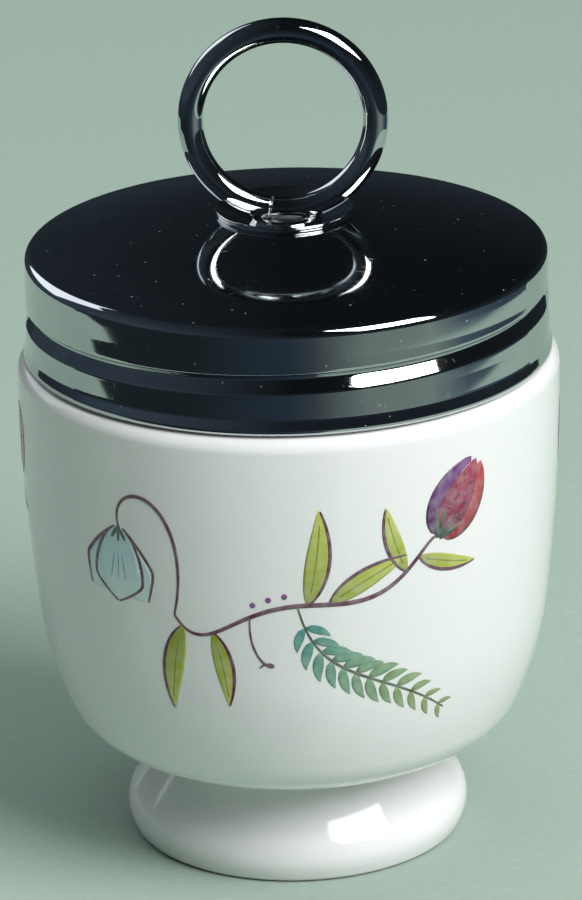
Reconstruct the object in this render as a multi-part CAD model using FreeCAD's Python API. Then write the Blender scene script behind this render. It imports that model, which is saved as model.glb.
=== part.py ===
import FreeCAD, Part
import math
import os

os.makedirs("parts", exist_ok=True)

# Egg coddler: a lidded porcelain pot on a foot, closed by a pressed metal screw lid
# that carries a fixed finger ring.  Millimetres, +Z up, origin on the table under the
# centre of the foot.  The lid is drawn screwed home.

# Pot, outside
foot_outer_r = 21.42          # outer edge of the foot where it meets the table
foot_edge_round = 1.0
foot_swell = 1.33             # how far the foot's widest band stands out past that edge
foot_bulge_z = 3.66           # corner of that band, before rounding
foot_bulge_round = 4.5
foot_taper = 7.81             # how far the foot's slope draws in, up to the bowl
foot_crease_round = 1.5
bowl_under_z = 14.02          # flat underside of the bowl
bowl_corner_in = 7.17         # bowl's lower corner, inwards of the body's side
bowl_corner_round = 7.8
bowl_flare_in = 2.4           # bend between the bowl and the tall side, the same way
bowl_flare_rise = 11.08
bowl_flare_round = 46.0
body_r = 34.4                 # widest radius of the body
body_bend_rise = 32.68
body_bend_round = 265.0
body_height = 50.93           # from the bowl's underside to the ledge under the lid
shoulder_round = 2.0
ledge_width = 3.2
neck_root_round = 0.6
neck_height = 12.77
neck_lip_round = 0.9

# Pot, inside
neck_wall = 2.6
body_wall = 3.2
bowl_wall = 3.1
corner_wall = 2.33
floor_thickness = 3.18
throat_drop = 0.95            # end of the straight mouth, below the ledge
throat_round = 6.0
belly_drop = 7.45
belly_round = 9.0
inside_bend_drop = 19.95
inside_bend_round = 175.0
inside_flare_rise = 8.4
inside_flare_round = 38.0
floor_round = 6.0

# Hollow under the foot
foot_land = 4.12              # width of the band that stands on the table, with its edges
foot_inner_round = 0.8
waist_wall = 1.74
hollow_below_bowl = 2.42
hollow_round = 3.0

# Screw thread, right-hand, one start
pitch = 4.2
groove_above_ledge = 6.6      # height of the groove's centre line at the front of the lid
groove_start_deg = -220.0     # round from the front, right-hand side positive
groove_end_deg = 80.0
groove_round = 1.2
groove_depth = 0.75
ridge_round = 1.0
ridge_start_deg = -200.0
ridge_end_deg = 130.0
thread_clearance = 0.25       # from the pot's thread to the inside of the lid

# Lid cap, pressed sheet
sheet = 0.55
lip_gap = 0.05                # between the pot's lip and the lid's inner corner
hem_gap = 0.29                # between the ledge and the lid's lower edge
dome_rise = 4.795
dome_edge_flat = 0.8
dome_crown_flat = 0.1
cap_corner_round = 1.3
upper_band_height = 3.8
lower_band_height = 1.96
band_flare = 0.2
hem_flare = 0.3
hem_fold = 0.1
hem_height = 1.26
hem_round = 0.3
hem_step_round = 0.1

# Dished disc under the ring, seated in a recess pressed into the crown
dish_sheet = 0.42
dish_seat_depth = 2.0         # crown of the dome down to the recess floor
dish_seat_r = 5.0
dish_seat_round = 1.6
dish_flare = 4.06             # seat corner out to the lip
dish_height = 2.2             # recess floor up to the lip
dish_lip_width = 0.5
dish_lip_round = 0.18

# Finger ring, round wire, upright, facing the front
ring_r = 11.55                # to the middle of the wire
wire_r = 1.6
ring_seat_gap = 0.13

# Solder pool holding the ring in the dish
solder_clearance = 0.5
solder_width = 1.6
solder_slope = 0.5
solder_height = 0.85
solder_round = 0.3

# Rivet through the cap and the dished disc
shank_r = 2.0
rivet_clearance = 0.05
head_r = 4.5
head_height = 1.3
head_edge_round = 0.4
head_rim_round = 0.1
head_hollow = 0.12
swage_spread = 0.5
swage_depth = 0.3
swage_below_floor = 0.1

# Places that follow from the sizes above
foot_bulge_r = foot_outer_r + foot_swell
foot_crease_r = foot_bulge_r - foot_taper
bowl_corner_r = body_r - bowl_corner_in
bowl_flare_r = body_r - bowl_flare_in
bowl_flare_z = bowl_under_z + bowl_flare_rise
body_bend_z = bowl_under_z + body_bend_rise
ledge_z = bowl_under_z + body_height
neck_r = body_r - ledge_width
neck_top_z = ledge_z + neck_height
mouth_r = neck_r - neck_wall
floor_z = bowl_under_z + floor_thickness
foot_inner_r = foot_outer_r - foot_land
hollow_r = foot_crease_r - waist_wall
hollow_top_z = bowl_under_z - hollow_below_bowl
groove_z = ledge_z + groove_above_ledge
ridge_z = groove_z + pitch / 2.0
cap_r = neck_r + ridge_round + thread_clearance + sheet
groove_r = cap_r + groove_round - groove_depth
band_r = cap_r + band_flare
hem_r = band_r + hem_flare
hem_inner_r = band_r - sheet - hem_fold
hem_z = ledge_z + hem_gap
hem_top_z = hem_z + hem_height
band_z = hem_z + lower_band_height
cap_corner_z = neck_top_z + lip_gap + sheet
band_bend_z = cap_corner_z - upper_band_height
cap_top_z = cap_corner_z + dome_rise
dome_corner_r = (cap_r - dome_edge_flat) / 2.0
dome_slope = math.atan2(dome_rise, cap_r - dome_corner_r)
dome_round = (dome_corner_r - dome_crown_flat) / math.tan(dome_slope / 2.0)
seat_z = cap_top_z - dish_seat_depth
dish_r = dish_seat_r + dish_flare
dish_lip_z = seat_z + dish_height
dish_floor_z = seat_z + dish_sheet
dish_lean = math.atan2(dish_height, dish_flare)
ring_centre_z = dish_floor_z + ring_seat_gap + wire_r + ring_r
swage_r = shank_r + swage_spread
swage_top_z = dish_floor_z - swage_below_floor
head_top_z = seat_z - sheet - rivet_clearance
solder_inner_r = swage_r + solder_clearance
solder_foot_r = solder_inner_r + solder_width
solder_top_z = dish_floor_z + solder_height


def rounded_outline(corners):
    """Closed wire in the XZ plane from (radius, height, rounding) corners.

    Where two neighbouring roundings would overlap on their common side, both give way."""
    points = [FreeCAD.Vector(r, 0, z) for r, z, rounding in corners]
    count = len(points)
    sides = [points[(i + 1) % count] - points[i] for i in range(count)]
    half_turns = [sides[i - 1].getAngle(sides[i]) / 2.0 for i in range(count)]
    reaches = [corners[i][2] * math.tan(half_turns[i]) for i in range(count)]
    shares = [side.Length / max(reaches[i] + reaches[(i + 1) % count], side.Length)
              for i, side in enumerate(sides)]
    ends = []
    edges = []
    for i in range(count):
        reach = reaches[i] * min(shares[i - 1], shares[i])
        inward = FreeCAD.Vector(sides[i - 1]).normalize()
        outward = FreeCAD.Vector(sides[i]).normalize()
        start = points[i] - inward * reach
        end = points[i] + outward * reach
        ends.append((start, end))
        if reach > 0:
            rounding = reach / math.tan(half_turns[i])
            bulge = (outward - inward).normalize() * (rounding / math.cos(half_turns[i]) - rounding)
            edges.append(Part.Arc(start, points[i] + bulge, end).toShape())
    for i in range(count):
        start = ends[i][1]
        end = ends[(i + 1) % count][0]
        if (end - start).Length > 1e-6:
            edges.append(Part.LineSegment(start, end).toShape())
    return Part.Wire(Part.__sortEdges__(edges))


def turned(corners):
    """Solid of revolution about the Z axis."""
    face = Part.Face(rounded_outline(corners))
    return face.revolve(FreeCAD.Vector(0, 0, 0), FreeCAD.Vector(0, 0, 1), 360)


def thread_bar(centre_r, bar_r, front_z, start_deg, end_deg):
    """Round bar along the thread's helix, with ball ends."""
    turn = end_deg - start_deg
    rise = pitch * turn / 360.0
    helix = Part.makeHelix(pitch, rise, centre_r)
    lead = FreeCAD.Vector(0, centre_r, pitch / (2.0 * math.pi))
    section = Part.Wire(Part.makeCircle(bar_r, FreeCAD.Vector(centre_r, 0, 0), lead))
    bar = Part.Wire(helix.Edges).makePipeShell([section], True, True)
    first = Part.makeSphere(bar_r, FreeCAD.Vector(centre_r, 0, 0))
    last_angle = math.radians(turn)
    last = Part.makeSphere(bar_r, FreeCAD.Vector(
        centre_r * math.cos(last_angle), centre_r * math.sin(last_angle), rise))
    bar = bar.fuse([first, last])
    bar.rotate(FreeCAD.Vector(0, 0, 0), FreeCAD.Vector(0, 0, 1), start_deg - 90.0)
    bar.translate(FreeCAD.Vector(0, 0, front_z + pitch * start_deg / 360.0))
    return bar


def one_solid(shape):
    """The single solid of a boolean result."""
    solids = shape.Solids
    if len(solids) != 1:
        raise ValueError("expected one solid, found %d" % len(solids))
    return solids[0]


# Porcelain pot with its moulded thread
pot = turned([
    (0, hollow_top_z, 0),
    (hollow_r, hollow_top_z, hollow_round),
    (foot_inner_r, 0, foot_inner_round),
    (foot_outer_r, 0, foot_edge_round),
    (foot_bulge_r, foot_bulge_z, foot_bulge_round),
    (foot_crease_r, bowl_under_z, foot_crease_round),
    (bowl_corner_r, bowl_under_z, bowl_corner_round),
    (bowl_flare_r, bowl_flare_z, bowl_flare_round),
    (body_r, body_bend_z, body_bend_round),
    (body_r, ledge_z, shoulder_round),
    (neck_r, ledge_z, neck_root_round),
    (neck_r, neck_top_z, neck_lip_round),
    (mouth_r, neck_top_z, neck_lip_round),
    (mouth_r, ledge_z - throat_drop, throat_round),
    (body_r - body_wall, ledge_z - belly_drop, belly_round),
    (body_r - body_wall, ledge_z - inside_bend_drop, inside_bend_round),
    (bowl_flare_r - bowl_wall, floor_z + inside_flare_rise, inside_flare_round),
    (bowl_corner_r - corner_wall, floor_z, floor_round),
    (0, floor_z, 0),
])
ridge = thread_bar(neck_r, ridge_round, ridge_z, ridge_start_deg, ridge_end_deg)
pot = one_solid(pot.fuse(ridge))

# Lid cap: domed sheet with a rolled groove that forms the thread inside
cap_outside = [
    (0, cap_top_z, 0),
    (dome_corner_r, cap_top_z, dome_round),
    (cap_r, cap_corner_z, cap_corner_round),
    (cap_r, band_bend_z, 0),
    (band_r, band_z, 0),
    (hem_r, hem_z, hem_round),
]
inner_corner_drop = (cap_r - sheet - dome_corner_r) * math.tan(dome_slope) + sheet / math.cos(dome_slope)
cap_inside = [
    (hem_inner_r, hem_z, hem_round),
    (hem_inner_r, hem_top_z, hem_step_round),
    (band_r - sheet, hem_top_z, 0),
    (band_r - sheet, band_z, 0),
    (cap_r - sheet, band_bend_z, 0),
    (cap_r - sheet, cap_top_z - inner_corner_drop, cap_corner_round - sheet),
    (dome_corner_r - sheet * math.tan(dome_slope / 2.0), cap_top_z - sheet, dome_round - sheet),
    (0, cap_top_z - sheet, 0),
]
recess = turned([
    (0, seat_z, 0),
    (dish_seat_r, seat_z, dish_seat_round),
    (dish_r, dish_lip_z, 0),
    (0, dish_lip_z, 0),
])
recess_corner_shift = sheet * math.tan(dish_lean / 2.0)
recess_under = turned([
    (0, seat_z - sheet, 0),
    (dish_seat_r + recess_corner_shift, seat_z - sheet, dish_seat_round + sheet),
    (dish_r + recess_corner_shift, dish_lip_z - sheet, 0),
    (0, dish_lip_z - sheet, 0),
])
cap_block = turned(cap_outside + [(0, hem_z, 0)]).cut(recess)
cap_room = turned([(0, hem_z, 0)] + cap_inside).cut(recess_under)
cap = cap_block.cut(cap_room)
bead = thread_bar(groove_r, groove_round + sheet, groove_z, groove_start_deg, groove_end_deg)
groove = thread_bar(groove_r, groove_round, groove_z, groove_start_deg, groove_end_deg)
cap = cap.fuse(bead.common(cap_block)).cut(groove)
rivet_hole = Part.makeCylinder(shank_r + rivet_clearance, dish_lip_z)
cap = one_solid(cap.cut(rivet_hole))

# Dished disc lying in the recess, countersunk for the rivet
floor_corner_r = dish_seat_r - dish_sheet * math.tan(dish_lean / 2.0)
lip_inner_r = dish_r - dish_lip_width
dish = turned([
    (0, seat_z, 0),
    (dish_seat_r, seat_z, dish_seat_round),
    (dish_r, dish_lip_z, dish_lip_round),
    (lip_inner_r, dish_lip_z + dish_lip_round, dish_lip_round),
    (floor_corner_r, dish_floor_z, dish_seat_round - dish_sheet),
    (0, dish_floor_z, 0),
])
countersink = Part.makeCone(
    shank_r + rivet_clearance, swage_r + rivet_clearance, swage_depth,
    FreeCAD.Vector(0, 0, swage_top_z - swage_depth))
countersink_mouth = Part.makeCylinder(
    swage_r + rivet_clearance, dish_lip_z - swage_top_z, FreeCAD.Vector(0, 0, swage_top_z))
dish = one_solid(dish.cut([rivet_hole, countersink, countersink_mouth]))

# Finger ring, upright across the front
ring = Part.makeTorus(ring_r, wire_r, FreeCAD.Vector(0, 0, ring_centre_z), FreeCAD.Vector(0, 1, 0))

# Solder pool between the ring and the dish
solder = turned([
    (solder_inner_r, dish_floor_z, 0),
    (solder_foot_r, dish_floor_z, 0),
    (solder_foot_r - solder_slope, solder_top_z, solder_round),
    (solder_inner_r, solder_top_z, solder_round),
])
solder = one_solid(solder.cut(ring))

# Rivet on the lid's axis
rivet = turned([
    (0, head_top_z - head_height, 0),
    (head_r, head_top_z - head_height, head_edge_round),
    (head_r, head_top_z - head_hollow, head_rim_round),
    (shank_r, head_top_z, 0),
    (shank_r, swage_top_z - swage_depth, 0),
    (swage_r, swage_top_z, 0),
    (0, swage_top_z, 0),
])

nodes = {
    "porcelain_pot": pot,
    "lid_cap": cap,
    "ring_dish": dish,
    "finger_ring": ring,
    "ring_solder": solder,
    "lid_rivet": rivet,
}
for name, shape in nodes.items():
    shape.exportStep("parts/%s.step" % name)
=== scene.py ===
import math
import random

import bpy
import numpy as np
from mathutils import Matrix, Vector


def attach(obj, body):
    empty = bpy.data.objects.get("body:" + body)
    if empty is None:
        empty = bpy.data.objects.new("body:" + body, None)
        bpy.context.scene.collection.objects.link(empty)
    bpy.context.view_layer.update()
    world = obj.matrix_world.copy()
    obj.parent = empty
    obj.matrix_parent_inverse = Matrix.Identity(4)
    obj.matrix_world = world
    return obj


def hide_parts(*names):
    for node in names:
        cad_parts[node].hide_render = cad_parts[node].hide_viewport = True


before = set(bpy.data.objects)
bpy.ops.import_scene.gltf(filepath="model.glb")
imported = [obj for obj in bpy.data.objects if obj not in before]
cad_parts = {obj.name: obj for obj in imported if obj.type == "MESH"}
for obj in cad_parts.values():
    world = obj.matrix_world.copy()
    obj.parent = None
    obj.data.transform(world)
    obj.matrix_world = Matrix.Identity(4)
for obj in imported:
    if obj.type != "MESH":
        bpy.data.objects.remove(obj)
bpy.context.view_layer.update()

# Egg coddler: white glazed porcelain pot with a painted sprig decoration, closed by a
# chrome-plated screw lid with a wire ring.  Metres; the tables below are in millimetres.

MM = 0.001
random.seed(7)


# Outlines, the same sizes as the solids: corners of radius, height and rounding

POT_OUTSIDE = [
    (0, 11.6, 0), (13.2, 11.6, 3.0), (17.3, 0, 0.8), (21.42, 0, 1.0), (22.75, 3.66, 4.5),
    (14.94, 14.02, 1.5), (27.23, 14.02, 7.8), (32.0, 25.1, 46.0), (34.4, 46.7, 265.0),
    (34.4, 64.95, 2.0), (31.2, 64.95, 0.6), (31.2, 77.72, 0.9),
]
POT_INSIDE = [
    (28.6, 77.72, 0.9), (28.6, 64.0, 6.0), (31.2, 57.5, 9.0), (31.2, 45.0, 175.0),
    (28.9, 25.6, 38.0), (24.9, 17.2, 6.0), (0, 17.2, 0),
]
LID_OUTSIDE = [
    (2.05, 81.115, 0), (5.0, 81.115, 1.6), (8.15, 82.82, 0.25), (20.03, 81.995, 115.0),
    (33.0, 78.32, 1.3), (33.0, 74.52, 12.0), (33.12, 69.5, 8.0), (33.2, 67.0, 2.5),
    (33.5, 65.75, 0.8), (33.5, 65.24, 0.3),
]
LID_INSIDE = [
    (32.55, 65.24, 0.3), (32.55, 66.5, 0.1), (32.65, 66.7, 0.1), (32.45, 74.52, 6.0),
    (32.45, 77.905, 0.75), (20.03, 81.43, 114.4), (8.3, 82.27, 0.2), (5.14, 80.565, 2.15),
    (2.05, 80.565, 0), (2.05, 81.115, 0),
]
DISH = [
    (2.05, 81.115, 0), (5.0, 81.115, 1.6), (9.06, 83.315, 0.18), (8.56, 83.49, 0.18),
    (4.89, 81.535, 1.18), (2.55, 81.535, 0.05), (2.55, 81.41, 0), (2.05, 81.125, 0),
    (2.05, 81.115, 0),
]

PITCH = 4.2             # rise of the screw thread in one turn
GROOVE_FRONT = 71.55    # height of the lid's groove at the front
GROOVE_FROM = -220.0    # where the groove starts, in degrees round from the front
GROOVE_TO = 80.0
RIDGE_FROM = -200.0     # where the neck's ridge starts
RIDGE_TO = 130.0
NECK_R = 30.9           # what lies outside this is the neck's outer face
BAND_R = 32.0           # what lies outside this is the lid's band

RING_R = 11.55          # middle of the ring's wire
WIRE_R = 1.6
RING_Z = 94.815
JOINT_DEG = -99.0       # where the wire's ends meet
JOINT_DEPTH = 0.22
JOINT_WIDTH = 0.07

SIDE_R = 33.8           # mean radius of the pot's side under the sprigs
STROKE_TOP = 0.022      # how proud of the glaze a stroke's edge stands
STROKE_STEP = 0.009     # added by each layer
STROKE_CROWN = 0.012    # added in a stroke's middle
STROKE_SINK = 0.02      # how far a stroke's underside lies in the glaze
STROKE_LEAST = 0.035    # least half width

FLOOR_Z = -0.02
FLOOR_SIDE = 900.0
FLOOR_BACK = 800.0
SURROUND_START = 400.0  # where the glowing dark surround, a painted reflection, starts
SURROUND_R = 2500.0
SURROUND_Z = 0.6
CARD_END = 900.0
CARD_Z = 0.4
CARD_HALF = 120.0      # degrees to each side that the card's painted reflection tones are given for


def rounded(corners, step_deg=5.0, longest=2.0):
    """Points along a line of (radius, height, rounding) corners."""
    points = [np.array(corner[:2], float) for corner in corners]
    turns = [0.0] * len(points)
    for i in range(1, len(points) - 1):
        a = points[i] - points[i - 1]
        b = points[i + 1] - points[i]
        turns[i] = abs(math.atan2(a[0] * b[1] - a[1] * b[0], a @ b))
    reach = [corners[i][2] * math.tan(turns[i] / 2) for i in range(len(points))]
    line = [points[0]]
    for i in range(1, len(points)):
        side = np.linalg.norm(points[i] - points[i - 1])
        inward = (points[i] - points[i - 1]) / side
        start = points[i] - inward * reach[i]
        line.append(start)
        if reach[i] > 0 and i < len(points) - 1:
            outward = points[i + 1] - points[i]
            outward = outward / np.linalg.norm(outward)
            radius = corners[i][2]
            halfway = (outward - inward) / np.linalg.norm(outward - inward)
            centre = points[i] + halfway * radius / math.cos(turns[i] / 2)
            by_angle = int(math.degrees(turns[i]) / step_deg)
            count = max(4, by_angle, int(radius * turns[i] / longest))
            first = start - centre
            last = points[i] + outward * reach[i] - centre
            for k in range(1, count + 1):
                t = k / count
                before = first * math.sin((1 - t) * turns[i])
                after = last * math.sin(t * turns[i])
                line.append(centre + (before + after) / math.sin(turns[i]))
    filled = [line[0]]
    for point in line[1:]:
        gap = np.linalg.norm(point - filled[-1])
        if gap < 1e-5:
            continue
        parts = max(1, int(math.ceil(gap / longest)))
        base = filled[-1]
        for k in range(1, parts + 1):
            filled.append(base + (point - base) * k / parts)
    return np.array(filled)


def refine(line, low, high, step):
    """The same line, its points at most step apart where its height is between low and high."""
    out = [line[0]]
    for point in line[1:]:
        base = out[-1]
        parts = 1
        if low < (base[1] + point[1]) / 2 < high:
            parts = max(1, int(math.ceil(np.linalg.norm(point - base) / step)))
        for k in range(1, parts + 1):
            out.append(base + (point - base) * k / parts)
    return np.array(out)


def mesh_piece(name, vertices_mm, faces, materials):
    """A new smooth-shaded object from vertices in millimetres."""
    data = bpy.data.meshes.new(name)
    data.from_pydata([tuple(v) for v in np.asarray(vertices_mm) * MM], [], faces)
    data.update()
    for material in materials:
        data.materials.append(material)
    data.polygons.foreach_set("use_smooth", [True] * len(data.polygons))
    piece = bpy.data.objects.new(name, data)
    bpy.context.scene.collection.objects.link(piece)
    return piece


def lathe(line, count, move=None):
    """Vertices and quads of a turned surface; move changes the radius by height and angle.

    An outline whose last point is its first one closes on itself. The outline may run
    either way round: the faces are turned outwards."""
    angles = np.linspace(0, 2 * math.pi, count, endpoint=False)
    radius = np.repeat(line[:, 0][:, None], count, 1)
    height = np.repeat(line[:, 1][:, None], count, 1)
    if move is not None:
        radius = radius + move(radius, height, angles[None, :])
    on_axis = line[:, 0] < 1e-6
    closed = np.linalg.norm(line[0] - line[-1]) < 1e-6
    vertices = []
    index = np.zeros((len(line), count), int)
    for i in range(len(line) - closed):
        if on_axis[i]:
            index[i, :] = len(vertices)
            vertices.append((0.0, 0.0, line[i, 1]))
        else:
            index[i, :] = len(vertices) + np.arange(count)
            x, y = radius[i] * np.cos(angles), radius[i] * np.sin(angles)
            vertices.extend(np.stack([x, y, height[i]], 1))
    if closed:
        index[-1, :] = index[0, :]
    faces = []
    for i in range(len(line) - 1):
        for j in range(count):
            k = (j + 1) % count
            corners = [index[i, j], index[i, k], index[i + 1, k], index[i + 1, j]]
            face = [int(c) for n, c in enumerate(corners) if c not in corners[:n]]
            if len(face) > 2:
                faces.append(face)
    around = line[:-1, 0] * line[1:, 1] - line[1:, 0] * line[:-1, 1]
    if around.sum() < 0:
        faces = [face[::-1] for face in faces]
    return vertices, faces


def round_from_front(angles):
    """Degrees round from the front, right-hand side positive, for angles from +X."""
    return np.degrees(angles) + 90.0


def thread_profile(corners, softness):
    """Depth by distance above the thread's centre line.

    corners are (distance, depth) pairs; softness rounds their edges off."""
    x = np.arange(-4.0, 4.001, 0.01)
    depth = np.interp(x, [c[0] for c in corners], [c[1] for c in corners])
    kernel = np.exp(-0.5 * (np.arange(-0.6, 0.601, 0.01) / softness) ** 2)
    return x, np.convolve(depth, kernel / kernel.sum(), mode="same")


def along_thread(height, angles, front_z, first, last, table, fade):
    """Thread profile laid along its spiral, fading out at both ends."""
    x, depth = table
    total = np.zeros(np.broadcast(height, angles).shape)
    for turn in (-1, 0, 1):
        around = round_from_front(angles) + 360.0 * turn
        centre = front_z + PITCH * around / 360.0
        begun = np.clip((around - first) / fade + 0.5, 0, 1)
        ends = begun * np.clip((last - around) / fade + 0.5, 0, 1)
        ends = ends * ends * (3 - 2 * ends)
        total = np.maximum(total, np.interp(height - centre, x, depth) * ends)
    return total


# Materials

def linear(code):
    """sRGB hex to linear RGBA."""
    shares = [int(code[i:i + 2], 16) / 255 for i in (1, 3, 5)]
    return [c / 12.92 if c <= 0.04045 else ((c + 0.055) / 1.055) ** 2.4 for c in shares] + [1.0]


def every(size_mm):
    """Texture scale of a pattern that repeats about once in so many millimetres."""
    return 1.0 / (size_mm * MM)


def add(tree, kind, settings=None, **links):
    """A node with its settings and links; a link is an output socket, anything else a value.

    A link's name is its input's name, or i and the input's number. The setting "stops"
    gives a colour ramp its (position, hex) stops."""
    node = tree.nodes.new(kind)
    for key, value in (settings or {}).items():
        if key != "stops":
            setattr(node, key, value)
            continue
        elements = node.color_ramp.elements
        for element, (position, code) in zip(elements, (value[0], value[-1])):
            element.position, element.color = position, linear(code)
        for position, code in value[1:-1]:
            elements.new(position).color = linear(code)
    for key, value in links.items():
        numbered = key[0] == "i" and key[1:].isdigit()
        socket = node.inputs[int(key[1:]) if numbered else key.replace("_", " ")]
        if isinstance(value, bpy.types.NodeSocket):
            tree.links.new(value, socket)
        else:
            socket.default_value = value
    return node


def surface(name):
    """A new material with its tree emptied down to a shader and an output."""
    material = bpy.data.materials.new(name)
    material.use_nodes = True
    tree = material.node_tree
    tree.nodes.clear()
    shader = add(tree, "ShaderNodeBsdfPrincipled")
    add(tree, "ShaderNodeOutputMaterial", None, Surface=shader.outputs["BSDF"])
    return material, tree, shader


def glazed_porcelain():
    """Bone white body under clear glaze: soft even white, sharp reflections that waver a little."""
    material, tree, shader = surface("glazed_porcelain")
    place = add(tree, "ShaderNodeTexCoord").outputs["Object"]
    drift = add(tree, "ShaderNodeTexNoise", None, Vector=place, Scale=every(22.22), Detail=2.0)
    white = add(
        tree, "ShaderNodeValToRGB", {"stops": [(0.3, "#EFEFF0"), (0.7, "#F3F1F2")]},
        Fac=drift.outputs["Fac"])
    tree.links.new(white.outputs["Color"], shader.inputs["Base Color"])
    # The glaze ran into soft waves 8 mm apart, with a few pinholes between.
    pool = add(tree, "ShaderNodeTexNoise", None, Vector=place, Scale=every(8.333), Detail=1.0)
    pits = add(tree, "ShaderNodeTexVoronoi", {"feature": "F1"}, Vector=place, Scale=every(3.03))
    pit = add(tree, "ShaderNodeMapRange", None, Value=pits.outputs["Distance"], From_Max=0.06)
    ripple = add(
        tree, "ShaderNodeBump", None,
        Height=pool.outputs["Fac"], Strength=0.12, Distance=0.0003)
    pitted = add(
        tree, "ShaderNodeBump", None, Height=pit.outputs["Result"],
        Normal=ripple.outputs["Normal"], Strength=0.06, Distance=0.00005)
    tree.links.new(pitted.outputs["Normal"], shader.inputs["Normal"])
    gloss = add(
        tree, "ShaderNodeMapRange", None, Value=pool.outputs["Fac"], To_Min=0.05, To_Max=0.11)
    tree.links.new(gloss.outputs["Result"], shader.inputs["Roughness"])
    shader.inputs["IOR"].default_value = 1.5
    shader.inputs["Subsurface Weight"].default_value = 0.08
    shader.inputs["Subsurface Radius"].default_value = (0.003, 0.0028, 0.0024)
    shader.inputs["Subsurface Scale"].default_value = 0.5
    return material


def bare_porcelain():
    """Unglazed foot edge wiped before firing: matt, slightly grey with kiln grit.

    The grit is finer than the pattern's 0.45 mm, which is as coarse as it needs to show."""
    material, tree, shader = surface("bare_porcelain")
    place = add(tree, "ShaderNodeTexCoord").outputs["Object"]
    grit = add(tree, "ShaderNodeTexNoise", None, Vector=place, Scale=every(0.4545), Detail=3.0)
    grey = add(
        tree, "ShaderNodeValToRGB", {"stops": [(0.3, "#C9C5BA"), (0.6, "#DEDBD2")]},
        Fac=grit.outputs["Fac"])
    tree.links.new(grey.outputs["Color"], shader.inputs["Base Color"])
    bump = add(
        tree, "ShaderNodeBump", None, Height=grit.outputs["Fac"], Strength=0.4, Distance=0.0001)
    tree.links.new(bump.outputs["Normal"], shader.inputs["Normal"])
    shader.inputs["Roughness"].default_value = 0.75
    return material


def chrome_plate(name, wear):
    """Bright chrome over polished steel: a dark mirror with wipe marks, dust and faint haze.

    Real wipe marks are hairlines; here they are about 0.14 mm wide, so that they show."""
    material, tree, shader = surface(name)
    place = add(tree, "ShaderNodeTexCoord").outputs["Object"]
    cloud = add(tree, "ShaderNodeTexNoise", None, Vector=place, Scale=every(14.286), Detail=4.0)
    along = add(
        tree, "ShaderNodeMapping", None,
        Vector=place, Rotation=(0.0, 0.0, 0.5), Scale=(1.0, 14.0, 1.0))
    wipes = add(
        tree, "ShaderNodeTexNoise", None,
        Vector=along.outputs["Vector"], Scale=every(1.92308), Detail=3.0)
    across = add(
        tree, "ShaderNodeMapping", None,
        Vector=place, Rotation=(0.0, 0.0, 2.0), Scale=(1.0, 18.0, 1.0))
    rubs = add(
        tree, "ShaderNodeTexNoise", None,
        Vector=across.outputs["Vector"], Scale=every(2.32558), Detail=2.0)
    both = add(
        tree, "ShaderNodeMath", {"operation": "MAXIMUM"},
        i0=wipes.outputs["Fac"], i1=rubs.outputs["Fac"])
    marks = add(
        tree, "ShaderNodeMapRange", None,
        Value=both.outputs["Value"], From_Min=0.69, From_Max=0.80)
    # Dust specks about 0.2 mm across, one in every second cell of 1.56 mm and not all as bright.
    cells = add(
        tree, "ShaderNodeTexVoronoi", {"feature": "F1"}, Vector=place, Scale=every(1.5625))
    speck = add(
        tree, "ShaderNodeMapRange", None, Value=cells.outputs["Distance"],
        From_Min=0.05, From_Max=0.09, To_Min=1.0, To_Max=0.0)
    number = add(tree, "ShaderNodeSeparateColor", None, Color=cells.outputs["Color"])
    chosen = add(tree, "ShaderNodeMapRange", None, Value=number.outputs["Red"], From_Min=0.5)
    dust = add(
        tree, "ShaderNodeMath", {"operation": "MULTIPLY"},
        i0=speck.outputs["Result"], i1=chosen.outputs["Result"])
    bare = add(
        tree, "ShaderNodeMath", {"operation": "MULTIPLY_ADD"},
        i0=dust.outputs["Value"], i1=-0.5 * wear, i2=1.0)
    tree.links.new(bare.outputs["Value"], shader.inputs["Metallic"])
    worn = add(
        tree, "ShaderNodeMath", {"operation": "MAXIMUM"},
        i0=dust.outputs["Value"], i1=marks.outputs["Result"])
    haze = add(
        tree, "ShaderNodeMapRange", None, Value=cloud.outputs["Fac"], To_Min=0.02, To_Max=0.07)
    rough = add(
        tree, "ShaderNodeMath", {"operation": "MULTIPLY_ADD"},
        i0=worn.outputs["Value"], i1=0.28 * wear, i2=haze.outputs["Result"])
    tree.links.new(rough.outputs["Value"], shader.inputs["Roughness"])
    silver = add(
        tree, "ShaderNodeValToRGB", {"stops": [(0.3, "#BCC1C4"), (0.7, "#CDD0D0")]},
        Fac=cloud.outputs["Fac"])
    tree.links.new(silver.outputs["Color"], shader.inputs["Base Color"])
    bump = add(
        tree, "ShaderNodeBump", None,
        Height=worn.outputs["Value"], Strength=0.05 * wear, Distance=0.00003)
    tree.links.new(bump.outputs["Normal"], shader.inputs["Normal"])
    return material


def turned_aluminium():
    """Aluminium rivet: satin grey with fine turning rings round its axis."""
    material, tree, shader = surface("turned_aluminium")
    shader.inputs["Metallic"].default_value = 1.0
    place = add(tree, "ShaderNodeTexCoord").outputs["Object"]
    rings = add(
        tree, "ShaderNodeTexWave", {"wave_type": "RINGS", "rings_direction": "Z"},
        Vector=place, Scale=every(0.714286), Distortion=0.6, Detail=2.0)
    grey = add(
        tree, "ShaderNodeValToRGB", {"stops": [(0.0, "#B9BCBC"), (1.0, "#CDD0D0")]},
        Fac=rings.outputs["Fac"])
    tree.links.new(grey.outputs["Color"], shader.inputs["Base Color"])
    satin = add(
        tree, "ShaderNodeMapRange", None, Value=rings.outputs["Fac"], To_Min=0.22, To_Max=0.36)
    tree.links.new(satin.outputs["Result"], shader.inputs["Roughness"])
    bump = add(
        tree, "ShaderNodeBump", None,
        Height=rings.outputs["Fac"], Strength=0.2, Distance=0.00002)
    tree.links.new(bump.outputs["Normal"], shader.inputs["Normal"])
    return material


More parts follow.
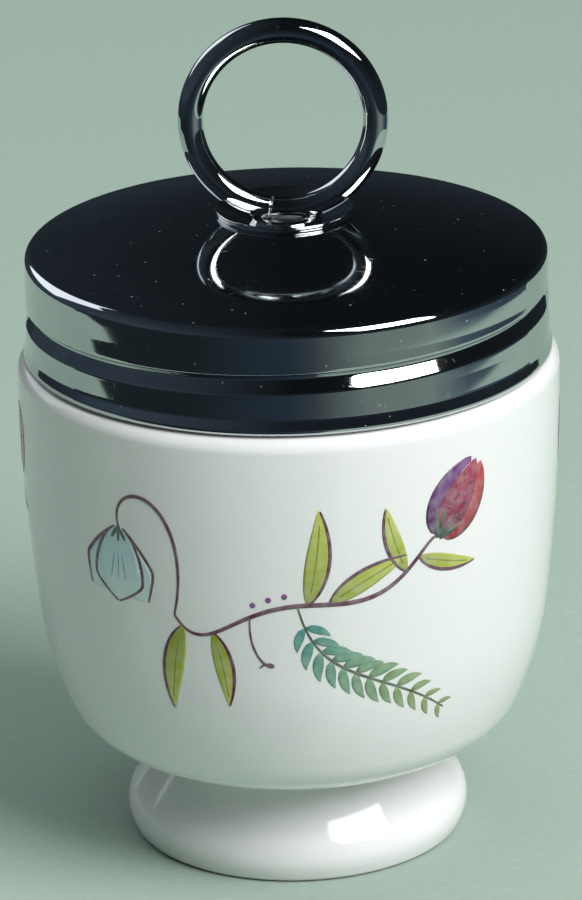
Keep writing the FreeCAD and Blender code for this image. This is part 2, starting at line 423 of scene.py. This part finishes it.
def onglaze_enamel():
    """Onglaze enamel brushed on by hand: translucent streaky washes, nearly as glossy as glaze."""
    material, tree, shader = surface("onglaze_enamel")
    place = add(tree, "ShaderNodeTexCoord").outputs["Object"]
    wash = add(tree, "ShaderNodeAttribute", {"attribute_name": "enamel"})
    streaks = add(
        tree, "ShaderNodeTexNoise", None, Vector=place, Scale=every(1.42857), Detail=3.0)
    thin = add(
        tree, "ShaderNodeMapRange", None, Value=streaks.outputs["Fac"],
        From_Min=0.3, From_Max=0.75, To_Max=0.22)
    blend = add(
        tree, "ShaderNodeMix", {"data_type": "RGBA"},
        i0=thin.outputs["Result"], i6=wash.outputs["Color"], i7=linear("#EDF1EC"))
    tree.links.new(blend.outputs[2], shader.inputs["Base Color"])
    gloss = add(
        tree, "ShaderNodeMapRange", None, Value=streaks.outputs["Fac"], To_Min=0.10, To_Max=0.2)
    tree.links.new(gloss.outputs["Result"], shader.inputs["Roughness"])
    shader.inputs["IOR"].default_value = 1.5
    return material


def studio_paper():
    """Seamless grey-green paper: matt and faintly fibrous.

    Real fibres are finer; the pattern is as coarse as it needs to show."""
    material, tree, shader = surface("studio_paper")
    place = add(tree, "ShaderNodeTexCoord").outputs["Object"]
    fibre = add(tree, "ShaderNodeTexNoise", None, Vector=place, Scale=every(1.1111), Detail=2.0)
    green = add(
        tree, "ShaderNodeValToRGB", {"stops": [(0.3, "#A1B2A7"), (0.7, "#A6B7AC")]},
        Fac=fibre.outputs["Fac"])
    tree.links.new(green.outputs["Color"], shader.inputs["Base Color"])
    shader.inputs["Roughness"].default_value = 0.9
    shader.inputs["Specular IOR Level"].default_value = 0.1
    return material


glaze = glazed_porcelain()
biscuit = bare_porcelain()
chrome = chrome_plate("chrome_plate", 1.0)
wire_chrome = chrome_plate("chrome_plate_wire", 0.5)
aluminium = turned_aluminium()
enamel = onglaze_enamel()


# Pot

def build_pot():
    """Foot, bowl, side and neck in one turned outline, with the thread's ridge on the neck."""
    line = refine(rounded(POT_OUTSIDE + POT_INSIDE), 66.0, 76.6, 0.2)
    ridge = thread_profile(
        [(-1.0, 0), (-0.75, 0.66), (-0.3, 0.95), (0.3, 0.95), (0.75, 0.66), (1.0, 0)], 0.08)
    ridge_front = GROOVE_FRONT + PITCH / 2

    def swell(radius, height, angles):
        outside = (radius > NECK_R) & (height > 65.8) & (height < 76.9)
        shape = along_thread(height, angles, ridge_front, RIDGE_FROM, RIDGE_TO, ridge, 4.0)
        return np.where(outside, shape, 0.0)

    vertices, faces = lathe(line, 288, swell)
    pot = mesh_piece("porcelain_body", vertices, faces, [glaze, biscuit])
    for polygon in pot.data.polygons:
        centre = polygon.center / MM
        foot_edge = centre.z < 0.35 and math.hypot(centre.x, centre.y) > 17.4
        polygon.material_index = int(foot_edge)
    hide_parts("porcelain_pot")
    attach(pot, "pot")


# Painted sprigs on the pot's side

PLUM = "#5E2A45"
LEAF = ("#8E9A2C", "#C6CC55", "#A9B23E")
BELL = ("#A8CCDC", "#E3F0F2", "#BFDCE6")
BUD_LEFT = ("#552062", "#7A3284", "#43184C")
BUD_MIDDLE = ("#7E2152", "#A82A48", "#621A48")
BUD_RIGHT = ("#9C2238", "#B93B40", "#7A1A30")
FERN_BASE = "#3F8E92"
FERN_END = "#8C9340"
FERN_LIGHT = "#AAC8B4"
SEPAL = ("#26403A", "#4F6A45", "#203530")
VEIN = "#7C8428"
BELL_VEIN = "#7FA3BC"
STIPPLE = "#2E1030"
FERN_STEM = "#4A5A3C"

strokes = {"vertices": [], "faces": [], "colours": []}

side_line = rounded(POT_OUTSIDE)
on_side = (side_line[:, 1] > 16.0) & (side_line[:, 1] < 63.0) & (side_line[:, 0] > 26.0)
side_radius, side_height = side_line[on_side].T


def curve(points, at):
    """Bezier curve through its end points, at parameters from 0 to 1."""
    level = np.repeat(np.array(points, float)[:, None, :], len(at), 1)
    while len(level) > 1:
        level = level[:-1] * (1 - at)[:, None] + level[1:] * at[:, None]
    return level[0]


def through(points, at):
    """Line that passes through every point, at parameters from 0 to 1."""
    points = np.array(points, float)
    knots = np.linspace(0, 1, len(points))
    return np.stack([np.interp(at, knots, points[:, 0]), np.interp(at, knots, points[:, 1])], 1)


def left_of(middle):
    """Unit vectors to the left of a line, one at each of its points."""
    along = np.gradient(middle, axis=0)
    along /= np.linalg.norm(along, axis=1)[:, None]
    return np.stack([-along[:, 1], along[:, 0]], 1)


def brush(place, points, half_width, tones, layer, shape=None, path=curve):
    """One brush stroke as a thin closed layer of enamel that follows the pot's side.

    place is (degrees round from the front, height); points are millimetres across and up
    from it. half_width is in millimetres, shape gives its share along the stroke; tones
    are root, tip and edge."""
    length = np.linalg.norm(np.diff(np.array(points, float), axis=0), axis=1).sum()
    count = max(6, int(length / 0.55))
    at = np.linspace(0, 1, count)
    middle = path(points, at)
    share = np.ones(count) if shape is None else shape(at)
    reach = np.maximum(half_width * share, STROKE_LEAST)
    columns = 5 if half_width < 0.5 else 9
    offsets = np.linspace(-1, 1, columns)
    sideways = (reach[:, None] * offsets[None, :])[:, :, None]
    flat = middle[:, None, :] + left_of(middle)[:, None, :] * sideways
    height = place[1] + flat[:, :, 1]
    turn = np.radians(place[0] - 90.0) + flat[:, :, 0] / SIDE_R
    root, tip, edge = (np.array(linear(code)) for code in tones)
    body = root[None, :] * (1 - at)[:, None] + tip[None, :] * at[:, None]
    mix = (np.abs(offsets) ** 3 * 0.7)[None, :, None]
    colour = body[:, None, :] * (1 - mix) + edge[None, None, :] * mix
    crown = STROKE_TOP + STROKE_STEP * layer + STROKE_CROWN * (1 - offsets ** 2)[None, :]
    first = len(strokes["vertices"])
    for proud in (crown, -STROKE_SINK):
        radius = np.interp(height, side_height, side_radius) + proud
        block = np.stack([radius * np.cos(turn), radius * np.sin(turn), height], 2)
        strokes["vertices"].extend(block.reshape(-1, 3))
        strokes["colours"].extend(colour.reshape(-1, 4))
    over = first + np.arange(count * columns).reshape(count, columns)
    under = over + count * columns
    faces = []
    for i in range(count - 1):
        for j in range(columns - 1):
            faces.append([over[i, j], over[i + 1, j], over[i + 1, j + 1], over[i, j + 1]])
            faces.append([under[i, j], under[i, j + 1], under[i + 1, j + 1], under[i + 1, j]])
        faces.append([over[i, 0], under[i, 0], under[i + 1, 0], over[i + 1, 0]])
        faces.append([over[i, -1], over[i + 1, -1], under[i + 1, -1], under[i, -1]])
    for j in range(columns - 1):
        faces.append([over[0, j], over[0, j + 1], under[0, j + 1], under[0, j]])
        faces.append([over[-1, j], under[-1, j], under[-1, j + 1], over[-1, j + 1]])
    strokes["faces"].extend([int(corner) for corner in face] for face in faces)


def pen_line(place, points, width=0.42, code=PLUM, path=curve):
    """Pen line that swells a little in its middle."""
    swell = lambda at: 0.55 + 0.45 * np.sin(math.pi * at)
    brush(place, points, width / 2, (code, code, code), 3, swell, path)


def dot(place, spot, size, code):
    """Round dot of enamel."""
    points = [(spot[0] - size / 2, spot[1]), spot, (spot[0] + size / 2, spot[1])]
    disc = lambda at: np.sqrt(np.maximum(1 - (2 * at - 1) ** 2, 0))
    brush(place, points, size / 2, (code, code, code), 4, disc)


def from_angle(spot, degrees, distance):
    """The point at a distance from a spot, in the direction of an angle."""
    a = math.radians(degrees)
    return (spot[0] + distance * math.cos(a), spot[1] + distance * math.sin(a))


def lance_leaf(place, spot, degrees, length, bend, tones=LEAF):
    """Narrow leaf with a plum line along its back and a fine middle vein."""
    wide = length * 0.115
    bent_at = from_angle(spot, degrees, length * 0.5)
    path = [spot, bent_at, from_angle(bent_at, degrees + bend, length * 0.5)]
    taper = lambda at: np.sin(math.pi * at ** 0.8) ** 0.8
    brush(place, path, wide, tones, 1, taper)
    at = np.linspace(0.02, 0.98, 17)
    middle = curve(path, at)
    back = 1 if bend < 0 else -1
    rim = middle + left_of(middle) * (wide * taper(at))[:, None] * back
    pen_line(place, rim, 0.46, path=through)
    brush(place, [tuple(middle[k]) for k in (2, 8, 14)], 0.11, (VEIN,) * 3, 2)


def bellflower(place, spot, degrees, size):
    """Hanging bell of three pale petals with pointed tips, outlined, and fine lines inside."""
    shoulder = 0.72

    def taper(at):
        swelling = np.sin(math.pi * 0.5 * (at / shoulder)) ** 0.6
        return np.where(at < shoulder, swelling, 1 - ((at - shoulder) / (1 - shoulder)) ** 1.5)

    for swing, wide, layer in ((-26, 0.30, 0), (26, 0.30, 0), (0, 0.36, 1)):
        tip = from_angle(spot, degrees + swing, size)
        path = [spot, from_angle(spot, degrees + swing * 0.2, size * 0.45), tip]
        brush(place, path, size * wide, BELL, layer, taper)
        at = np.linspace(0.03, 0.995, 25)
        middle = curve(path, at)
        across = left_of(middle) * (size * wide * taper(at))[:, None]
        for hand in (-1, 1):
            if swing * hand >= 0:
                pen_line(place, middle + across * hand, 0.44, path=through)
    for lean in (-9, 0, 9):
        inner = [from_angle(spot, degrees + lean, size * share) for share in (0.35, 0.7)]
        pen_line(place, inner, 0.2, BELL_VEIN)
    for lean in (-30, 0, 30):
        pen_line(place, [spot, from_angle(spot, degrees + lean, size * 0.2)], 0.5, SEPAL[0])


def tulip_bud(place, spot, degrees, size):
    """Closed bud of three petals, purple to crimson, stippled, on a small dark calyx."""
    petals = ((14, BUD_LEFT, 0.25, 0), (-14, BUD_RIGHT, 0.25, 0), (0, BUD_MIDDLE, 0.21, 2))
    for swing, tones, wide, layer in petals:
        belly = from_angle(spot, degrees + swing * 1.9, size * 0.55)
        path = [spot, belly, from_angle(spot, degrees + swing * 0.35, size)]
        oval = lambda at: np.sin(math.pi * at ** 0.7) ** 0.7
        brush(place, path, size * wide, tones, layer, oval)
    for _ in range(26):
        lean = random.uniform(-17, 17)
        speck = from_angle(spot, degrees + lean, size * random.uniform(0.25, 0.78))
        dot(place, speck, random.uniform(0.2, 0.34), STIPPLE)
    for lean in (-52, -22, 22, 52):
        bent_at = from_angle(spot, degrees + lean, size * 0.2)
        path = [spot, bent_at, from_angle(spot, degrees + lean * 0.7, size * 0.36)]
        brush(place, path, 0.42, SEPAL, 4, lambda at: (1 - at) ** 0.7)


def channels(code):
    """The three channels of an sRGB hex colour, 0 to 255."""
    return np.array([int(code[i:i + 2], 16) for i in (1, 3, 5)])


def hex_code(values):
    """sRGB hex of three channels."""
    return "#%02X%02X%02X" % tuple(int(value) for value in values)


def fern(place, points, leaflets, size):
    """Frond with paired leaflets that shrink to its tip, teal at the base and olive at the end."""
    at = np.linspace(0.1, 0.97, leaflets)
    middle = curve(points, at)
    along = np.gradient(middle, axis=0)
    slim = lambda at: np.sin(math.pi * at ** 0.75) ** 0.8
    for k, share in enumerate(at):
        heading = math.degrees(math.atan2(along[k][1], along[k][0]))
        root = channels(FERN_BASE) * (1 - share) + channels(FERN_END) * share
        tip = root * 0.6 + channels(FERN_LIGHT) * 0.4
        tones = (hex_code(root), hex_code(tip), hex_code(root * 0.85))
        spot = tuple(middle[k])
        longest = size * (0.45 + 0.75 * math.sin(math.pi * (0.2 + 0.75 * share)))
        for hand in (-1, 1):
            reach = longest * random.uniform(0.92, 1.08)
            bent_at = from_angle(spot, heading + hand * 58, reach * 0.6)
            path = [spot, bent_at, from_angle(spot, heading + hand * 42, reach)]
            brush(place, path, reach * 0.17, tones, 1, slim)
    pen_line(place, points, 0.36, FERN_STEM)


def sprig(around, height, flip):
    """One spray: wavy stem with leaves, a bell at one end, a bud at the other, a fern below."""
    place = (around, height)

    def at(x, y):
        return (x * flip, y)

    def heading(degrees):
        return degrees if flip > 0 else 180 - degrees

    def on(points, share):
        return tuple(curve(points, np.array([share]))[0])

    stem = [at(-17, -2), at(-10, -14), at(-3, 22), at(7, -20), at(14, 10), at(17, 7)]
    frond = [on(stem, 0.42), at(1, -11), at(9, -9), at(19, -17)]
    fern(place, frond, 12, 3.6)
    hook = [on(stem, 0.0), at(-14.5, 7), at(-17, 17), at(-26, 14), at(-24.5, 8.5)]
    bellflower(place, on(hook, 1.0), heading(-94), 10.4)
    pen_line(place, stem, 0.62)
    pen_line(place, hook, 0.5)
    lance_leaf(place, on(stem, 0.03), heading(-112), 12.5, 24 * flip)
    lance_leaf(place, on(stem, 0.14), heading(-70), 10.5, -22 * flip)
    lance_leaf(place, on(stem, 0.45), heading(72), 13.0, 22 * flip)
    lance_leaf(place, on(stem, 0.52), heading(38), 11.5, -20 * flip)
    lance_leaf(place, on(stem, 0.80), heading(118), 9.5, -22 * flip)
    lance_leaf(place, on(stem, 0.86), heading(-28), 9.0, 24 * flip)
    tulip_bud(place, on(stem, 1.0), heading(58), 10.6)
    tendril = [on(stem, 0.27), at(-8, -9), at(-2.5, -10), at(-4.2, -6.4), at(-6.2, -8.4)]
    pen_line(place, tendril, 0.36)
    for share in (0.28, 0.33, 0.38):
        spot = on(stem, share)
        dot(place, (spot[0], spot[1] + 1.5), 0.75, BUD_LEFT[1])


def build_sprigs():
    """Three sprays round the pot, the middle one facing the other way."""
    sprig(3.0, 43.0, 1)
    sprig(123.0, 42.0, -1)
    sprig(242.0, 43.5, 1)
    piece = mesh_piece("painted_sprigs", strokes["vertices"], strokes["faces"], [enamel])
    tint = piece.data.color_attributes.new("enamel", "FLOAT_COLOR", "POINT")
    tint.data.foreach_set("color", np.array(strokes["colours"]).ravel())
    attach(piece, "pot")


# Lid

def build_lid():
    """Pressed sheet with its rolled spiral groove, the bead that it makes inside and the rims."""
    outside = refine(rounded(LID_OUTSIDE, step_deg=4.0, longest=1.2), 66.2, 75.6, 0.09)
    inside = refine(rounded(LID_INSIDE, step_deg=6.0, longest=1.5), 66.8, 75.6, 0.16)
    line = np.concatenate([outside, inside])
    rows = np.arange(len(line))[:, None]
    groove = thread_profile([(-1.15, 0), (0.45, 0.85), (0.75, 0.8), (1.3, 0)], 0.12)
    bead = thread_profile([(-1.6, 0), (0.15, 0.88), (1.15, 0.85), (1.75, 0)], 0.15)

    def roll(radius, height, angles):
        on_outer, on_inner = (
            along_thread(height, angles, GROOVE_FRONT, GROOVE_FROM, GROOVE_TO, profile, 7.0)
            for profile in (groove, bead))
        dip = np.where(rows < len(outside), on_outer, on_inner)
        band = (height > 66.0) & (height < 76.3) & (radius > BAND_R)
        return np.where(band, -dip, 0.0)

    vertices, faces = lathe(line, 480, roll)
    lid = mesh_piece("lid_shell", vertices, faces, [chrome])
    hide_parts("lid_cap")
    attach(lid, "lid")


def build_dish():
    """Dished disc whose rim is a little uneven."""
    line = rounded(DISH, step_deg=6.0, longest=0.8)

    def wave(radius, height, angles):
        return 0.05 * np.sin(3 * angles + 0.6) * (radius > 8.0)

    vertices, faces = lathe(line, 160, wave)
    dish = mesh_piece("dished_disc", vertices, faces, [wire_chrome])
    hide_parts("ring_dish")
    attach(dish, "lid")


def build_ring():
    """Wire ring with the tight butt joint of its two ends low on the front left."""
    full = 2 * math.pi
    joint = math.radians(JOINT_DEG)
    section = 36

    def from_joint(angle):
        return abs((angle - joint + math.pi) % full - math.pi) * RING_R

    beside = (0.03, 0.07, 0.12, 0.2, 0.5)
    fine = [joint + d / RING_R for d in (*(-d for d in reversed(beside)), 0.0, *beside)]
    coarse = [full * k / 168 for k in range(168)]
    around = sorted(a % full for a in [a for a in coarse if from_joint(a) > 0.7] + fine)
    vertices = []
    for a in around:
        wire = WIRE_R - JOINT_DEPTH * math.exp(-(from_joint(a) / JOINT_WIDTH) ** 2)
        for k in range(section):
            b = full * k / section
            r = RING_R + wire * math.cos(b)
            vertices.append((r * math.cos(a), wire * math.sin(b), RING_Z + r * math.sin(a)))
    faces = []
    for i in range(len(around)):
        here, there = i * section, (i + 1) % len(around) * section
        for k in range(section):
            after = (k + 1) % section
            faces.append([here + k, here + after, there + after, there + k])
    ring = mesh_piece("ring_wire", vertices, faces, [wire_chrome])
    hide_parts("finger_ring")
    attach(ring, "lid")


build_pot()
build_sprigs()
build_lid()
build_dish()
build_ring()
for node, finish in (("ring_solder", wire_chrome), ("lid_rivet", aluminium)):
    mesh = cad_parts[node].data
    mesh.materials.clear()
    mesh.materials.append(finish)


# Floor, lamps and camera

def build_floor():
    """Flat sheet of studio paper under and all round the pot."""
    xs = np.linspace(-FLOOR_SIDE, FLOOR_SIDE, 37)
    ys = np.linspace(-FLOOR_SIDE, FLOOR_BACK, 35)
    vertices = [(x, y, FLOOR_Z) for y in ys for x in xs]
    wide = len(xs)
    faces = [
        [j * wide + i, j * wide + i + 1, (j + 1) * wide + i + 1, (j + 1) * wide + i]
        for j in range(len(ys) - 1) for i in range(wide - 1)
    ]
    mesh_piece("studio_floor", vertices, faces, [studio_paper()])


def painted_reflection_glow(name, stops, vertical):
    """Painted reflection for the chrome, a dark glow and no lamp: an even glow that changes by
    height in metres, or by angle round from the front, and is painted paler and bluer towards the
    left."""
    material = bpy.data.materials.new(name)
    material.use_nodes = True
    tree = material.node_tree
    tree.nodes.clear()
    here = add(tree, "ShaderNodeTexCoord").outputs["Object"]
    place = add(tree, "ShaderNodeSeparateXYZ", None, Vector=here)
    if vertical:
        factor = add(tree, "ShaderNodeMapRange", None, Value=place.outputs["Z"], From_Max=2.5)
    else:
        ahead = add(
            tree, "ShaderNodeMath", {"operation": "MULTIPLY"}, i0=place.outputs["Y"], i1=-1.0)
        turn = add(
            tree, "ShaderNodeMath", {"operation": "ARCTAN2"},
            i0=place.outputs["X"], i1=ahead.outputs["Value"])
        factor = add(
            tree, "ShaderNodeMapRange", None, Value=turn.outputs["Value"],
            From_Min=math.radians(-CARD_HALF), From_Max=math.radians(CARD_HALF))
    dark = add(tree, "ShaderNodeValToRGB", {"stops": stops}, Fac=factor.outputs["Result"])
    # Painted reflection tone: the glow turns paler and bluer towards the left.
    paler = add(
        tree, "ShaderNodeMapRange", None, Value=place.outputs["X"], From_Max=-2.2, To_Max=0.22)
    reflected_tone = add(
        tree, "ShaderNodeMix", {"data_type": "RGBA"},
        i0=paler.outputs["Result"], i6=dark.outputs["Color"], i7=linear("#6E8094"))
    glow = add(tree, "ShaderNodeEmission", None, Color=reflected_tone.outputs[2], Strength=1.0)
    add(tree, "ShaderNodeOutputMaterial", None, Surface=glow.outputs["Emission"])
    return material


def mirrored_only(piece):
    """Stage piece that shows in reflections and nowhere else."""
    piece.visible_camera = False
    piece.visible_diffuse = False
    piece.visible_transmission = False
    piece.visible_volume_scatter = False
    piece.visible_shadow = False


def build_surround():
    """Painted dark reflection beyond the paper: a dome that glows dark, seen only in the chrome,
    from 400 mm behind the pot up to overhead.
    """
    line = [(radius, SURROUND_Z) for radius in (SURROUND_START, 800, 1600, SURROUND_R)]
    for degrees in range(5, 90, 5):
        e = math.radians(degrees)
        line.append((SURROUND_R * math.cos(e), SURROUND_Z + SURROUND_R * math.sin(e)))
    line.append((0, SURROUND_Z + SURROUND_R))
    vertices, faces = lathe(np.array(line, float), 96)
    # Painted reflection: the dome's glow darkens with height.
    stops = [
        (0.0, "#262D33"), (0.06, "#22292F"), (0.25, "#1B2125"), (0.5, "#14181B"), (1.0, "#12161A"),
    ]
    mirrored_glow = painted_reflection_glow("painted_reflection_surround", stops, True)
    mirrored_only(mesh_piece("painted_dark_reflection", vertices, faces, [mirrored_glow]))


def build_reflection_card():
    """Glowing card on the paper in front of the pot, seen only in reflections: a painted
    reflection.

    edge is the radius of its near edge, tones its glow colour, both by degrees round from the
    front; together they paint the pale and dark reflected patches at the ends of the lid's bands."""
    edge = [
        (-100, 275), (-90, 258), (-84, 245), (-74, 232), (-71, 200), (-66, 120), (-41, 61), (0, 44),
        (12, 60), (20, 236), (60, 238.5), (89, 239), (106, 241), (122, 244),
    ]
    # Painted reflection tones of the glowing card, by angle round from the front.
    tones = [
        (-100, "#1E2426"), (-40, "#1E2628"), (0, "#2E3B48"), (10, "#424C52"), (32, "#808D88"),
        (60, "#86968F"), (78, "#505F6C"), (104, "#3A4856"), (118, "#3A4856"),
    ]
    turns = np.linspace(edge[0][0], edge[-1][0], 112)
    near = np.interp(turns, [turn for turn, _ in edge], [radius for _, radius in edge])
    rows = [near * (1 - k) + CARD_END * k for k in (0.0, 0.05, 0.12, 0.25, 0.5, 1.0)]
    vertices = [
        (radius * math.sin(a), -radius * math.cos(a), CARD_Z)
        for row in rows for a, radius in zip(np.radians(turns), row)
    ]
    count = len(turns)
    faces = [
        [j * count + i, (j + 1) * count + i, (j + 1) * count + i + 1, j * count + i + 1]
        for j in range(len(rows) - 1) for i in range(count - 1)
    ]
    stops = [((turn + CARD_HALF) / (2 * CARD_HALF), code) for turn, code in tones]
    mirrored_glow = painted_reflection_glow("painted_reflection_front", stops, False)
    mirrored_only(mesh_piece("painted_reflection_card", vertices, faces, [mirrored_glow]))


def softbox(name, direction, distance_mm, size_mm, power, tint="#FFFFFF"):
    """Area lamp aimed at the pot's middle."""
    lamp = bpy.data.lights.new(name, "AREA")
    lamp.shape = "RECTANGLE"
    lamp.size = size_mm[0] * MM
    lamp.size_y = size_mm[1] * MM
    lamp.energy = power
    lamp.color = linear(tint)[:3]
    aim = Vector((0, 0, 0.05))
    where = Vector(direction).normalized() * distance_mm * MM + aim
    holder = bpy.data.objects.new(name, lamp)
    holder.location = where
    holder.rotation_euler = (where - aim).to_track_quat("Z", "Y").to_euler()
    bpy.context.scene.collection.objects.link(holder)


def from_front(around_deg, up_deg):
    """Direction by degrees round from the front, right positive, and above the horizon."""
    a = math.radians(around_deg)
    e = math.radians(up_deg)
    return (math.sin(a) * math.cos(e), -math.cos(a) * math.cos(e), math.sin(e))


def light_from_above():
    """Pale light that gathers overhead; lens and mirrors see an even paper tone instead."""
    world = bpy.data.worlds.new("studio")
    bpy.context.scene.world = world
    world.use_nodes = True
    sky = world.node_tree
    sky.nodes.clear()
    direction = add(sky, "ShaderNodeTexCoord").outputs["Generated"]
    height = add(sky, "ShaderNodeSeparateXYZ", None, Vector=direction).outputs["Z"]
    above = add(sky, "ShaderNodeMath", {"operation": "MAXIMUM"}, i0=height, i1=0.0)
    narrowed = add(
        sky, "ShaderNodeMath", {"operation": "POWER"}, i0=above.outputs["Value"], i1=6.0)
    overhead = add(
        sky, "ShaderNodeMath", {"operation": "MULTIPLY"}, i0=narrowed.outputs["Value"], i1=2.3)
    ambient = add(
        sky, "ShaderNodeBackground", None,
        Color=linear("#C4D2CB"), Strength=overhead.outputs["Value"])
    seen = add(sky, "ShaderNodeBackground", None, Color=linear("#A8BDB0"), Strength=1.0)
    ray = add(sky, "ShaderNodeLightPath")
    mirrored = add(
        sky, "ShaderNodeMath", {"operation": "MAXIMUM"},
        i0=ray.outputs["Is Glossy Ray"], i1=ray.outputs["Is Transmission Ray"])
    shown = add(
        sky, "ShaderNodeMath", {"operation": "MAXIMUM"},
        i0=ray.outputs["Is Camera Ray"], i1=mirrored.outputs["Value"])
    final = add(
        sky, "ShaderNodeMixShader", None,
        i0=shown.outputs["Value"], i1=ambient.outputs[0], i2=seen.outputs[0])
    add(sky, "ShaderNodeOutputWorld", None, Surface=final.outputs[0])


def photo_camera():
    """Long lens in front and above, fitted to the lid's rims and the foot; tilted a little."""
    camera = bpy.data.cameras.new("photo_camera")
    camera.sensor_width = 36.0
    camera.sensor_fit = "AUTO"
    camera.lens = 200.0
    camera.clip_end = 20.0
    eye = bpy.data.objects.new("photo_camera", camera)
    place = Vector((0.094, -597.765, 276.518)) * MM
    aim = Vector((0.094, 0.0, 50.772)) * MM
    forward = (aim - place).normalized()
    right = Vector((1.0, 0.0, 0.0))
    up = right.cross(forward)
    roll = math.radians(-1.252)
    local_x = right * math.cos(roll) + up * math.sin(roll)
    local_y = up * math.cos(roll) - right * math.sin(roll)
    eye.matrix_world = Matrix((
        (local_x.x, local_y.x, -forward.x, place.x),
        (local_x.y, local_y.y, -forward.y, place.y),
        (local_x.z, local_y.z, -forward.z, place.z),
        (0, 0, 0, 1),
    ))
    bpy.context.scene.collection.objects.link(eye)
    bpy.context.scene.camera = eye


build_floor()
build_surround()
build_reflection_card()
softbox("key_softbox", from_front(50, 42), 1600, (990, 960), 30.5)
softbox("left_softbox", from_front(-134, 30), 900, (560, 560), 1.4, "#F2F7FF")
light_from_above()
photo_camera()
bpy.context.scene.view_settings.view_transform = "Standard"
